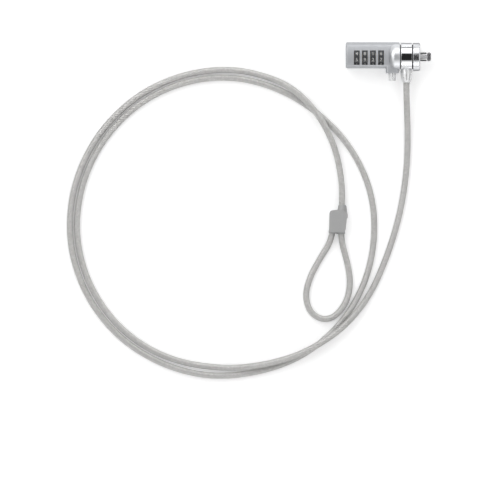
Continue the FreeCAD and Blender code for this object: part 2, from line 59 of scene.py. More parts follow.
# The cable's route: the control points of its line, from the ferrule to the end inside the moulded sleeve.
LAID, OVER, SLEEVE_Z = -0.00778, -0.00315, -0.0061
ROUTE: tuple[Point, ...] = (
    (-0.00935, -0.013, 0), (-0.00935, -0.027, 0), (-0.0084, -0.046, -0.0062), (-0.0084, -0.068, LAID),
    (-0.0104, -0.09, LAID), (-0.0154, -0.115, LAID), (-0.0244, -0.142, LAID), (-0.036, -0.1666, LAID),
    (-0.054, -0.1872, OVER), (-0.078, -0.2023, OVER), (-0.104, -0.2106, OVER), (-0.134, -0.214, LAID),
    (-0.1714, -0.208, LAID), (-0.2023, -0.19, LAID), (-0.2247, -0.1618, LAID), (-0.2359, -0.1275, LAID),
    (-0.2337, -0.0916, LAID), (-0.2195, -0.0589, LAID), (-0.1956, -0.0329, LAID),
    (-0.1642, -0.0169, LAID), (-0.1295, -0.0126, LAID), (-0.0959, -0.0213, LAID),
    (-0.0684, -0.0387, LAID), (-0.0459, -0.0627, LAID), (-0.0317, -0.0951, LAID),
    (-0.0308, -0.131, LAID), (-0.0407, -0.1638, LAID), (-0.0616, -0.1922, LAID),
    (-0.0932, -0.2122, LAID), (-0.137, -0.2203, LAID), (-0.1733, -0.2128, LAID),
    (-0.2057, -0.1937, LAID), (-0.2292, -0.1641, LAID), (-0.2408, -0.1282, LAID),
    (-0.2386, -0.0905, LAID), (-0.2237, -0.0563, LAID), (-0.1986, -0.029, LAID),
    (-0.1658, -0.0121, LAID), (-0.1293, -0.0073, LAID), (-0.0985, -0.0149, LAID), (-0.081, -0.026, OVER),
    (-0.067, -0.043, OVER), (-0.0576, -0.063, -0.0066), (-0.0532, -0.086, SLEEVE_Z),
    (-0.0534, -0.107, SLEEVE_Z), (-0.0542, -0.125, -0.0064), (-0.0501, -0.139, -0.0076),
    (-0.0476, -0.152, LAID), (-0.0487, -0.163, LAID), (-0.0523, -0.1712, LAID), (-0.0586, -0.1781, LAID),
    (-0.0656, -0.18, LAID), (-0.0724, -0.1773, LAID), (-0.077, -0.1712, LAID), (-0.0784, -0.1615, LAID),
    (-0.0748, -0.1495, LAID), (-0.0678, -0.137, LAID), (-0.0599, -0.1245, -0.0066),
    (-0.0589, -0.1115, SLEEVE_Z),
)


class Axis(Enum):
    """The line that a turned piece is turned about."""

    X = (1.0, 0.0, 0.0)
    Y = (0.0, 1.0, 0.0)


class Grain(Enum):
    """How the fine texture of a surface runs, as its stretch along X, Y and Z."""

    EVEN = (1.0, 1.0, 1.0)
    AROUND = (1.0, 0.06, 0.06)
    ALONG_X = (0.05, 1.0, 1.0)
    ALONG_Y = (1.0, 0.05, 1.0)


# -------- node groups and finishes


def plug(socket: bpy.types.NodeSocket, value: object) -> None:
    """Links a socket to another one, or sets it to a plain value."""
    if isinstance(value, bpy.types.NodeSocket):
        socket.id_data.links.new(value, socket)
    else:
        socket.default_value = value


def feed(node: bpy.types.Node, **values: object) -> None:
    """Sets properties and inputs of a node.

    Args:
        node: The node.
        **values: Its properties, or its inputs by their name with spaces as underscores.
    """
    for name, value in values.items():
        if hasattr(node, name):
            setattr(node, name, value)
        else:
            plug(node.inputs[name.replace("_", " ")], value)


def add_node(tree: bpy.types.NodeTree, kind: str, **values: object) -> bpy.types.Node:
    """Adds a node.

    Args:
        tree: The tree that gets the node.
        kind: The node's type name.
        **values: Its properties and inputs.

    Returns:
        The new node.
    """
    node = tree.nodes.new(kind)
    feed(node, **values)
    return node


def maths(tree: bpy.types.NodeTree, operation: str, *values: object) -> bpy.types.NodeSocket:
    """Adds a maths node.

    Args:
        tree: The tree that gets the node.
        operation: What the node does.
        *values: Its inputs in order, as sockets or numbers.

    Returns:
        The result's socket.
    """
    node = add_node(tree, "ShaderNodeMath", operation=operation)
    for socket, value in zip(node.inputs, values):
        plug(socket, value)
    return node.outputs[0]


def mixed(tree: bpy.types.NodeTree, amount: object, first: object, second: object) -> bpy.types.NodeSocket:
    """Blends two colours.

    Args:
        tree: The tree that gets the node.
        amount: How much of the second colour shows, as a socket or a number.
        first: The colour at 0, as a socket or a colour.
        second: The colour at 1, as a socket or a colour.

    Returns:
        The blended colour's socket.
    """
    node = add_node(tree, "ShaderNodeMix", data_type="RGBA")
    for index, value in ((0, amount), (6, first), (7, second)):
        plug(node.inputs[index], (*value, 1.0) if isinstance(value, tuple) else value)
    return node.outputs[2]


def new_material(name: str) -> tuple[bpy.types.Material, bpy.types.NodeTree, bpy.types.Node]:
    """Makes a material.

    Args:
        name: The material's name.

    Returns:
        The material, its node tree and its main shader.
    """
    material = bpy.data.materials.new(name)
    material.use_nodes = True
    return material, material.node_tree, material.node_tree.nodes["Principled BSDF"]


def new_group(name: str, inputs: dict[str, tuple[str, object]], outputs: Sequence[str]) -> bpy.types.NodeTree:
    """Makes an empty shader node group with named sockets.

    Args:
        name: The group's name.
        inputs: Each input's socket type and default value.
        outputs: The names of its float outputs.

    Returns:
        The group's tree, with its input and output nodes in place.
    """
    tree = bpy.data.node_groups.new(name, "ShaderNodeTree")
    for socket_name, (kind, value) in inputs.items():
        socket = tree.interface.new_socket(socket_name, in_out="INPUT", socket_type=kind)
        if value is not None:
            socket.default_value = value
    for socket_name in outputs:
        tree.interface.new_socket(socket_name, in_out="OUTPUT", socket_type="NodeSocketFloat")
    tree.nodes.new("NodeGroupInput")
    tree.nodes.new("NodeGroupOutput")
    return tree


@dataclass
class GroupShelf:
    """The node groups that several finishes share, each built once."""

    grain: bpy.types.NodeTree | None = None
    marks: bpy.types.NodeTree | None = None
    edges: bpy.types.NodeTree | None = None

    def build(self) -> None:
        """Builds every group."""
        self.grain = self.build_grain()
        self.marks = self.build_marks()
        self.edges = self.build_edges()

    @staticmethod
    def build_grain() -> bpy.types.NodeTree:
        """Fine texture: a height for bumps and a slow change of tone."""
        tree = new_group(
            "fine_grain",
            {"Vector": ("NodeSocketVector", None), "Cells": ("NodeSocketFloat", 6000.0),
             "Patches": ("NodeSocketFloat", 250.0)},
            ("Height", "Tone"),
        )
        source, target = tree.nodes["Group Input"], tree.nodes["Group Output"]
        fine = add_node(tree, "ShaderNodeTexNoise", Vector=source.outputs["Vector"],
                        Scale=source.outputs["Cells"], Detail=3.0, Roughness=0.6)
        slow = add_node(tree, "ShaderNodeTexNoise", Vector=source.outputs["Vector"],
                        Scale=source.outputs["Patches"], Detail=2.0, Roughness=0.5)
        fine_share = add_node(tree, "ShaderNodeMapRange", Value=fine.outputs[0], To_Max=0.3)
        tone = maths(tree, "MULTIPLY_ADD", slow.outputs[0], 0.7, fine_share.outputs[0])
        feed(target, Height=fine.outputs[0], Tone=tone)
        return tree

    @staticmethod
    def build_marks() -> bpy.types.NodeTree:
        """Signs of handling: soft smudges with a few hairline rubs in them."""
        tree = new_group(
            "handling_marks",
            {"Vector": ("NodeSocketVector", None), "Size": ("NodeSocketFloat", 120.0)},
            ("Mask",),
        )
        source, target = tree.nodes["Group Input"], tree.nodes["Group Output"]
        smudge = add_node(tree, "ShaderNodeTexNoise", Vector=source.outputs["Vector"],
                          Scale=source.outputs["Size"], Detail=4.0, Roughness=0.62, Distortion=0.6)
        soft = add_node(tree, "ShaderNodeMapRange", Value=smudge.outputs[0], From_Min=0.38, From_Max=0.66)
        turned = add_node(tree, "ShaderNodeMapping", Vector=source.outputs["Vector"],
                          Rotation=(0.3, 0.2, 0.9), Scale=(1.0, 26.0, 26.0))
        rubs = add_node(tree, "ShaderNodeTexNoise", Vector=turned.outputs[0],
                        Scale=source.outputs["Size"], Detail=2.0)
        thin = add_node(tree, "ShaderNodeMapRange", Value=rubs.outputs[0], From_Min=0.66, From_Max=0.74,
                        To_Max=0.5)
        feed(target, Mask=maths(tree, "MAXIMUM", soft.outputs[0], thin.outputs[0]))
        return tree

    @staticmethod
    def build_edges() -> bpy.types.NodeTree:
        """Edges: where the rounded normal leaves the true one, broken up by noise; wear on most finishes,
        painted shade on dark steel and bright nickel, partly a painted highlight on grey plastic.
        """
        tree = new_group(
            "edge_wear_and_painted_light",
            {"Vector": ("NodeSocketVector", None), "Width": ("NodeSocketFloat", 0.00015),
             "Amount": ("NodeSocketFloat", 1.0)},
            ("Mask",),
        )
        source, target = tree.nodes["Group Input"], tree.nodes["Group Output"]
        rounded = add_node(tree, "ShaderNodeBevel", samples=4, Radius=source.outputs["Width"])
        true = tree.nodes.new("ShaderNodeNewGeometry")
        compare = add_node(tree, "ShaderNodeVectorMath", operation="DOT_PRODUCT")
        plug(compare.inputs[0], rounded.outputs[0])
        plug(compare.inputs[1], true.outputs["Normal"])
        turned_away = add_node(tree, "ShaderNodeMapRange", Value=compare.outputs["Value"],
                               From_Min=0.985, From_Max=0.86)
        patch = add_node(tree, "ShaderNodeTexNoise", Vector=source.outputs["Vector"], Scale=700.0, Detail=3.0)
        broken = add_node(tree, "ShaderNodeMapRange", Value=patch.outputs[0], From_Min=0.35, From_Max=0.6)
        broken_edge_mask = maths(tree, "MULTIPLY", turned_away.outputs[0], broken.outputs[0])
        feed(target, Mask=maths(tree, "MULTIPLY", broken_edge_mask, source.outputs["Amount"]))
        return tree


SHELF = GroupShelf()


@dataclass(frozen=True)
class Finish:
    """One opaque surface finish.

    Attributes:
        name: The material's name.
        slot: The record's material slot; not used.
        light: The lighter of its two tones.
        dark: The darker of its two tones.
        wear_and_painted_light_colour: The colour of its edges: wear on most finishes, painted shade on dark
            steel and bright nickel, and partly a painted highlight on grey plastic.
        metallic: 1 for bare metal, 0 for plastic, and between them for a coated metal.
        polish: Its lowest and highest roughness.
        cells: Grain cells per metre.
        depth: Height of the grain in metres.
        grain: The direction of the grain.
        wear_and_painted_light_amount: How strongly its edges take that colour, from 0 to 1.
        coat: Weight of a clear coat.
        specular: Specular level of the surface under the coat.
        rim: Reflectance of a metal near grazing angles, where a turned piece shows its outline.
    """

    name: str
    slot: str
    light: Colour
    dark: Colour
    wear_and_painted_light_colour: Colour
    metallic: float
    polish: tuple[float, float]
    cells: float = 6000.0
    depth: float = 4e-6
    grain: Grain = Grain.EVEN
    wear_and_painted_light_amount: float = 0.5
    coat: float = 0.0
    specular: float = 0.5
    rim: float = 0.12

    def material(self) -> bpy.types.Material:
        """Builds the material, or finds it if it was built before.

        Returns:
            The material.
        """
        name = f"{self.name}_finish"
        found = bpy.data.materials.get(name)
        if found is not None:
            return found
        material, tree, shader = new_material(name)
        place = tree.nodes.new("ShaderNodeTexCoord").outputs["Object"]
        run = add_node(tree, "ShaderNodeMapping", Vector=place, Scale=self.grain.value).outputs[0]
        grain = add_node(tree, "ShaderNodeGroup", node_tree=SHELF.grain, Vector=run, Cells=self.cells,
                         Patches=self.cells / 20)
        marks = add_node(tree, "ShaderNodeGroup", node_tree=SHELF.marks, Vector=place)
        edges = add_node(tree, "ShaderNodeGroup", node_tree=SHELF.edges, Vector=place, Amount=self.wear_and_painted_light_amount)
        body = mixed(tree, grain.outputs["Tone"], self.dark, self.light)
        rough = add_node(tree, "ShaderNodeMapRange", Value=marks.outputs[0], To_Min=self.polish[0],
                         To_Max=self.polish[1])
        bump = add_node(tree, "ShaderNodeBump", Strength=0.6, Distance=self.depth,
                        Height=grain.outputs["Height"])
        # The edges take the edge colour: wear on most finishes, painted shade on dark steel and bright
        # nickel, partly a painted highlight on grey plastic.
        feed(shader, Base_Color=mixed(tree, edges.outputs[0], body, self.wear_and_painted_light_colour), Roughness=rough.outputs[0],
             Normal=bump.outputs[0], Metallic=self.metallic, Coat_Weight=self.coat, Coat_Roughness=0.08,
             Specular_IOR_Level=self.specular)
        if self.metallic > 0.5:
            feed(shader, Specular_Tint=(self.rim, self.rim, self.rim, 1.0))
        return material

    def dress(self, piece: bpy.types.Object) -> None:
        """Gives the finish to a piece or a CAD node."""
        piece.data.materials.clear()
        piece.data.materials.append(self.material())


SATIN_ZINC = Finish("satin_zinc", "satin_zinc", (0.52, 0.53, 0.55), (0.44, 0.45, 0.47), (0.62, 0.62, 0.63),
                    0.6, (0.44, 0.54), cells=9000, depth=5e-6, wear_and_painted_light_amount=0.25, rim=0.7)
CHROME = Finish("polished_chrome", "chrome", (0.90, 0.91, 0.93), (0.87, 0.88, 0.90), (0.95, 0.95, 0.95),
                1.0, (0.05, 0.11), cells=5000, depth=5e-7, wear_and_painted_light_amount=0.2)
DOME_CHROME = Finish("satin_dome_chrome", "chrome", (0.80, 0.81, 0.83), (0.72, 0.73, 0.75),
                     (0.90, 0.90, 0.90), 1.0, (0.36, 0.46), cells=12000, depth=2e-6, grain=Grain.AROUND,
                     wear_and_painted_light_amount=0.2)
SATIN_CHROME = Finish("satin_chrome", "satin_chrome", (0.78, 0.79, 0.81), (0.72, 0.73, 0.75), (0.9, 0.9, 0.9),
                      1.0, (0.20, 0.30), cells=14000, depth=2e-6, grain=Grain.AROUND, wear_and_painted_light_amount=0.3)
# Bright nickel's edge colour is darker than its body: painted shade along the edges of the ferrule and the
# push button.
BRIGHT_NICKEL = Finish("bright_nickel", "bright_nickel", (0.90, 0.90, 0.90), (0.85, 0.86, 0.87),
                       (0.55, 0.55, 0.56), 0.55, (0.24, 0.34), cells=9000, depth=2e-6, grain=Grain.ALONG_Y,
                       wear_and_painted_light_amount=0.2)
STEEL = Finish("turned_steel", "steel", (0.58, 0.59, 0.60), (0.50, 0.51, 0.52), (0.75, 0.75, 0.75),
               1.0, (0.28, 0.40), cells=12000, depth=3e-6, grain=Grain.AROUND)
# Dark steel's near-black edge colour, at full amount, is painted shade along the edges of the guard plate and
# the T-bar.
DARK_STEEL = Finish("dark_steel", "dark_steel", (0.50, 0.50, 0.51), (0.38, 0.38, 0.39), (0.16, 0.16, 0.16),
                    0.9, (0.26, 0.38), cells=9000, depth=3e-6, grain=Grain.ALONG_X, wear_and_painted_light_amount=1.0, rim=0.1)
SPRING_STEEL = Finish("spring_steel", "spring_steel", (0.44, 0.45, 0.47), (0.36, 0.37, 0.40),
                      (0.62, 0.62, 0.62), 1.0, (0.30, 0.42))
BRASS = Finish("brass", "brass", (0.80, 0.63, 0.34), (0.70, 0.53, 0.26), (0.90, 0.76, 0.48),
               1.0, (0.26, 0.38), cells=11000, depth=3e-6, grain=Grain.AROUND)
SOFT_ALUMINIUM = Finish("soft_aluminium", "soft_aluminium", (0.76, 0.76, 0.77), (0.68, 0.68, 0.69),
                        (0.85, 0.85, 0.85), 1.0, (0.34, 0.48))
BLACK_NYLON = Finish("black_nylon", "black_nylon", (0.030, 0.030, 0.032), (0.020, 0.020, 0.022),
                     (0.07, 0.07, 0.07), 0.0, (0.45, 0.60), depth=8e-6)
DIAL_BLACK = Finish("dial_black", "dial_black", (0.055, 0.056, 0.060), (0.035, 0.036, 0.040),
                    (0.20, 0.20, 0.21), 0.0, (0.26, 0.40), cells=8000, depth=4e-6, wear_and_painted_light_amount=0.8, coat=0.15)
NUMERAL_WHITE = Finish("numeral_white", "dial_black", (0.50, 0.50, 0.49), (0.40, 0.40, 0.39),
                       (0.55, 0.55, 0.54), 0.0, (0.40, 0.55), depth=3e-6, wear_and_painted_light_amount=0.0)
# Grey plastic's lighter edge colour is partly scuffed plastic and partly a painted highlight on the sleeve's
# rounded edges and rims.
GREY_PLASTIC = Finish("grey_moulded_plastic", "grey_plastic", (0.40, 0.40, 0.40), (0.35, 0.35, 0.35),
                      (0.60, 0.60, 0.60), 0.0, (0.34, 0.46), cells=3600, depth=1.2e-5, wear_and_painted_light_amount=0.7)


@dataclass(frozen=True)
class ClearJacket:
    """The clear soft coating over the cable's steel strands."""

    name: str = "clear_jacket"
    tint: Colour = (0.95, 0.955, 0.96)
    bend_of_light: float = 1.36

    def material(self) -> bpy.types.Material:
        """Builds the glass-like material. Light from lamps passes straight through it to the strands."""
        material, tree, shader = new_material(self.name)
        tint = (*self.tint, 1.0)
        place = tree.nodes.new("ShaderNodeTexCoord").outputs["Object"]
        marks = add_node(tree, "ShaderNodeGroup", node_tree=SHELF.marks, Vector=place, Size=260.0)
        rough = add_node(tree, "ShaderNodeMapRange", Value=marks.outputs[0], To_Min=0.02, To_Max=0.06)
        feed(shader, Base_Color=tint, Transmission_Weight=1.0, IOR=self.bend_of_light,
             Roughness=rough.outputs[0])
        through = add_node(tree, "ShaderNodeBsdfTransparent", Color=tint)
        path = tree.nodes.new("ShaderNodeLightPath")
        mix = tree.nodes.new("ShaderNodeMixShader")
        plug(mix.inputs[0], path.outputs["Is Shadow Ray"])
        plug(mix.inputs[1], shader.outputs[0])
        plug(mix.inputs[2], through.outputs[0])
        feed(tree.nodes["Material Output"], Surface=mix.outputs[0])
        return material


@dataclass(frozen=True)
class StrandSteel:
    """The bright wires of the cable's strands, with the lay of the wires as a fine bump."""

    name: str = "strand_wires"
    light: Colour = (0.86, 0.85, 0.835)
    dark: Colour = (0.50, 0.493, 0.48)
    metallic: float = 0.7
    wire_count: int = 6
    wire_turns: int = 300

    def material(self) -> bpy.types.Material:
        """Builds the material. The wires run round each strand on its own UV map."""
        material, tree, shader = new_material(self.name)
        place = tree.nodes.new("ShaderNodeTexCoord").outputs
        parts = add_node(tree, "ShaderNodeSeparateXYZ", Vector=place["UV"])
        around = maths(tree, "MULTIPLY", parts.outputs["Y"], FULL_TURN * self.wire_count)
        along = maths(tree, "MULTIPLY_ADD", parts.outputs["X"], -FULL_TURN * self.wire_turns, around)
        wires = maths(tree, "SINE", along)
        grain = add_node(tree, "ShaderNodeGroup", node_tree=SHELF.grain, Vector=place["Object"], Cells=7000.0,
                         Patches=500.0)
        rough = add_node(tree, "ShaderNodeMapRange", Value=grain.outputs["Tone"], To_Min=0.34, To_Max=0.48)
        bump = add_node(tree, "ShaderNodeBump", Strength=0.5, Distance=6e-5, Height=wires)
        feed(shader, Base_Color=mixed(tree, grain.outputs["Tone"], self.dark, self.light),
             Roughness=rough.outputs[0], Normal=bump.outputs[0], Metallic=self.metallic)
        return material


# -------- mesh work


def put_in_scene(name: str, data: bpy.types.Mesh | bpy.types.Curve) -> bpy.types.Object:
    """Makes an object at the origin and links it.

    Args:
        name: The object's name.
        data: Its mesh or curve.

    Returns:
        The object.
    """
    piece = bpy.data.objects.new(name, data)
    bpy.context.scene.collection.objects.link(piece)
    return piece


def piece_from(name: str, form: bmesh.types.BMesh, sharp: float = 32.0) -> bpy.types.Object:
    """Turns a bmesh into a finished piece, smooth but for its sharp edges.

    Args:
        name: The piece's name.
        form: The bmesh, which is freed.
        sharp: Edges that turn more than this many degrees stay sharp.

    Returns:
        The piece.
    """
    bmesh.ops.remove_doubles(form, verts=form.verts, dist=1e-7)
    bmesh.ops.recalc_face_normals(form, faces=form.faces)
    for face in form.faces:
        face.smooth = True
    for edge in form.edges:
        edge.smooth = edge.is_manifold and edge.calc_face_angle(0.0) < math.radians(sharp)
    mesh = bpy.data.meshes.new(name)
    form.to_mesh(mesh)
    form.free()
    return put_in_scene(name, mesh)


def soften(form: bmesh.types.BMesh, width: float, segments: int = 3, above: float = 30.0,
           chosen: Callable[[bmesh.types.BMEdge], bool] | None = None) -> None:
    """Bevels the edges of a bmesh that turn more than an angle.

    Args:
        form: The bmesh to change.
        width: How far the bevel reaches from the edge.
        segments: The number of faces across the bevel.
        above: The least angle in degrees.
        chosen: A further test that an edge has to pass.
    """
    edges = []
    for edge in form.edges:
        if edge.is_manifold and edge.calc_face_angle(0.0) > math.radians(above):
            if chosen is None or chosen(edge):
                edges.append(edge)
    bmesh.ops.bevel(form, geom=edges, offset=width, offset_type="OFFSET", segments=segments, profile=0.5,
                    affect="EDGES", material=-1, clamp_overlap=True)


def turned_form(outline: Outline, axis: Axis, steps: int = 96, soft: float = 0.0,
                offset: Point = (0.0, 0.0, 0.0)) -> bmesh.types.BMesh:
    """Turns a closed outline once round an axis.

    Args:
        outline: (station along the axis, radius) pairs in millimetres.
        axis: The axis to turn about.
        steps: Facets in a full turn.
        soft: Width of the bevel on its sharp edges, in metres.
        offset: A point on the axis.

    Returns:
        The turned bmesh.
    """
    along, base = Vector(axis.value), Vector(offset)
    form = bmesh.new()
    verts = [form.verts.new(base + along * (s * MM) + Vector((0, 0, r * MM))) for s, r in outline]
    edges = [form.edges.new(pair) for pair in zip(verts, verts[1:] + verts[:1])]
    bmesh.ops.spin(form, geom=verts + edges, cent=base, axis=along, angle=FULL_TURN, steps=steps,
                   use_merge=True, use_duplicate=False)
    bmesh.ops.remove_doubles(form, verts=form.verts, dist=1e-6)
    bmesh.ops.dissolve_degenerate(form, edges=form.edges, dist=1e-7)
    bmesh.ops.recalc_face_normals(form, faces=form.faces)
    if soft:
        soften(form, soft)
    return form


def arc_outline(centre: tuple[float, float], radius: float, start: float, end: float,
                steps: int) -> list[tuple[float, float]]:
    """Points of an arc in an outline.

    Args:
        centre: The arc's centre in millimetres.
        radius: Its radius in millimetres.
        start: Its first angle in degrees from the first axis.
        end: Its last angle.
        steps: How many chords it has.

    Returns:
        The points, both ends included.
    """
    angles = [math.radians(start + (end - start) * index / steps) for index in range(steps + 1)]
    return [(centre[0] + radius * math.cos(a), centre[1] + radius * math.sin(a)) for a in angles]


def carve(piece: bpy.types.Object, *cutters: bpy.types.Object) -> None:
    """Cuts holes in a piece.

    Args:
        piece: The piece to cut.
        *cutters: The pieces whose shapes are cut out of it, which are removed.
    """
    for cutter in cutters:
        change = piece.modifiers.new("carve", "BOOLEAN")
        change.operation = "DIFFERENCE"
        change.solver = "EXACT"
        change.object = cutter
    bpy.context.view_layer.update()
    graph = bpy.context.evaluated_depsgraph_get()
    form = bmesh.new()
    form.from_mesh(bpy.data.meshes.new_from_object(piece.evaluated_get(graph)))
    piece.modifiers.clear()
    for cutter in cutters:
        bpy.data.objects.remove(cutter)
    cut = piece_from(piece.name + "_cut", form)
    piece.data = cut.data
    bpy.data.objects.remove(cut)


def tube(name: str, start: Point, end: Point, radius: float, sides: int = 64) -> bpy.types.Object:
    """A round bar between two points, used to cut holes.

    Args:
        name: The bar's name.
        start: The middle of one end.
        end: The middle of the other end.
        radius: The bar's radius.
        sides: Facets round it.

    Returns:
        The bar.
    """
    a, b = Vector(start), Vector(end)
    form = bmesh.new()
    bmesh.ops.create_cone(form, cap_ends=True, segments=sides, radius1=radius, radius2=radius,
                          depth=(b - a).length)
    turn = Vector((0, 0, 1)).rotation_difference(b - a).to_matrix().to_4x4()
    bmesh.ops.transform(form, matrix=Matrix.Translation((a + b) / 2) @ turn, verts=form.verts)
    return piece_from(name, form)


def finish_piece(piece: bpy.types.Object, body: str, finish: Finish, *stands_for: str) -> bpy.types.Object:
    """Dresses a piece, puts it on its body and hides the CAD nodes that it stands for.

    Args:
        piece: The piece.
        body: The body that it moves with.
        finish: Its finish.
        *stands_for: The CAD nodes that it replaces.

    Returns:
        The piece.
    """
    finish.dress(piece)
    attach(piece, body)
    if stands_for:
        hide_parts(*stands_for)
    return piece


# -------- sub-assemblies


@dataclass
class Studio:
    """The camera, the pale floor and the soft light, with a dark reflection straight overhead."""

    aim: Point = (-0.1164, -0.1322, -0.004)
    camera_height: float = 5.0
    width_seen: float = 0.3425
    sensor: float = 0.036
    floor_size: float = 4.0
    seen_across: tuple[tuple[float, float], ...] = (
        (-180.0, 0.45), (-80.0, 0.45), (-72.0, 1.0), (-56.0, 1.0), (-52.0, 0.08), (-44.0, 0.08),
        (-42.0, 0.60), (-35.0, 0.55), (-29.0, 0.016), (24.0, 0.016), (30.0, 1.0), (68.0, 1.0), (73.0, 0.05),
        (94.0, 0.05), (98.0, 0.7), (180.0, 0.7),
    )
    panel_width: tuple[tuple[float, float], ...] = (
        (-180.0, 0.0), (-20.0, 0.0), (-14.0, 1.0), (14.0, 1.0), (20.0, 0.0), (180.0, 0.0),
    )
    side_light: tuple[tuple[float, float], ...] = (
        (-180.0, 0.8), (-96.0, 0.8), (-92.0, 0.05), (-72.0, 0.05), (-64.0, 0.55), (-42.0, 0.75),
        (-28.0, 1.1), (0.0, 1.0), (35.0, 0.95), (60.0, 0.60), (70.0, 0.05), (92.0, 0.05), (98.0, 0.60),
        (180.0, 0.60),
    )

    def build(self) -> None:
        """Builds the camera, floor, world and lamps."""
        self.camera()
        self.floor()
        self.world()
        self.lamp("key_left", (-0.9, 0.6, 1.1), 1.2, 6.5)
        self.lamp("fill_back", (0.25, 1.1, 0.7), 0.9, 3.0)
        self.lamp("fill_front", (0.1, -1.3, 0.8), 0.9, 2.5)

    def camera(self) -> None:
        """A long lens that looks straight down."""
        data = bpy.data.cameras.new("camera")
        data.sensor_width = self.sensor * 1000
        data.lens = data.sensor_width * self.camera_height / self.width_seen
        camera = bpy.data.objects.new("camera", data)
        camera.location = Vector(self.aim) + Vector((0, 0, self.camera_height))
        bpy.context.scene.collection.objects.link(camera)
        bpy.context.scene.camera = camera
        bpy.context.scene.view_settings.view_transform = "Standard"

    def floor(self) -> None:
        """A plain white floor."""
        form = bmesh.new()
        bmesh.ops.create_grid(form, x_segments=8, y_segments=8, size=self.floor_size / 2)
        bmesh.ops.translate(form, vec=(0, 0, FLOOR_Z), verts=form.verts)
        piece = piece_from("floor", form)
        material, tree, shader = new_material("floor_white")
        place = tree.nodes.new("ShaderNodeTexCoord").outputs["Object"]
        cloud = add_node(tree, "ShaderNodeTexNoise", Vector=place, Scale=3.0)
        feed(shader, Base_Color=mixed(tree, cloud.outputs[0], (0.82, 0.82, 0.82), (0.84, 0.84, 0.84)),
             Emission_Color=(1.0, 1.0, 1.0, 1.0), Emission_Strength=0.34, Roughness=0.9,
             Specular_IOR_Level=0.0)
        piece.data.materials.append(material)

    def world(self) -> None:
        """White light all round, but for dark panels and lines that the polished ring shows."""
        world = bpy.data.worlds.new("soft_box")
        bpy.context.scene.world = world
        world.use_nodes = True
        tree = world.node_tree
        background = tree.nodes["Background"]
        sky = tree.nodes.new("ShaderNodeTexCoord").outputs["Generated"]
        parts = add_node(tree, "ShaderNodeSeparateXYZ", Vector=sky)
        lean = self.angle(tree, parts.outputs["Y"], parts.outputs["Z"])
        tilt = self.angle(tree, parts.outputs["X"], parts.outputs["Z"])
        across = self.bands(tree, lean, self.seen_across)
        panel = self.bands(tree, tilt, self.panel_width)
        shown = mixed(tree, panel, self.bands(tree, tilt, self.side_light), across)
        feed(background, Color=shown, Strength=1.12)

    @staticmethod
    def angle(tree: bpy.types.NodeTree, side: bpy.types.NodeSocket,
              up: bpy.types.NodeSocket) -> bpy.types.NodeSocket:
        """An angle from straight overhead, spread from 0 at -180 degrees to 1 at 180 degrees."""
        spread = add_node(tree, "ShaderNodeMapRange", Value=maths(tree, "ARCTAN2", side, up),
                          From_Min=-math.pi, From_Max=math.pi)
        return spread.outputs[0]

    @staticmethod
    def bands(tree: bpy.types.NodeTree, spread: bpy.types.NodeSocket, stops: Sequence[tuple[float, float]]
              ) -> bpy.types.NodeSocket:
        """Grey levels along an angle.

        Args:
            tree: The world's tree.
            spread: The angle, from 0 to 1.
            stops: (degrees from overhead, grey level) pairs in order.

        Returns:
            The grey level's socket.
        """
        ramp = add_node(tree, "ShaderNodeValToRGB", Fac=spread)
        line = ramp.color_ramp
        ends = (line.elements[0], line.elements[1])
        for element, (degrees, level) in zip(ends, (stops[0], stops[-1])):
            element.color = (level, level, level, 1.0)
        for degrees, level in stops[1:-1]:
            element = line.elements.new((degrees + 180.0) / 360.0)
            element.color = (level, level, level, 1.0)
        return ramp.outputs[0]

    def lamp(self, name: str, place: Point, size: float, power: float) -> None:
        """A square soft lamp that points at the lock.

        Args:
            name: The lamp's name.
            place: Where it hangs.
            size: The length of its side.
            power: Its power in watts.
        """
        data = bpy.data.lights.new(name, "AREA")
        data.shape, data.size, data.energy = "SQUARE", size, power
        lamp = bpy.data.objects.new(name, data)
        lamp.location = place
        lamp.rotation_mode = "QUATERNION"
        lamp.rotation_quaternion = (Vector(self.aim) - Vector(place)).to_track_quat("-Z", "Y")
        bpy.context.scene.collection.objects.link(lamp)


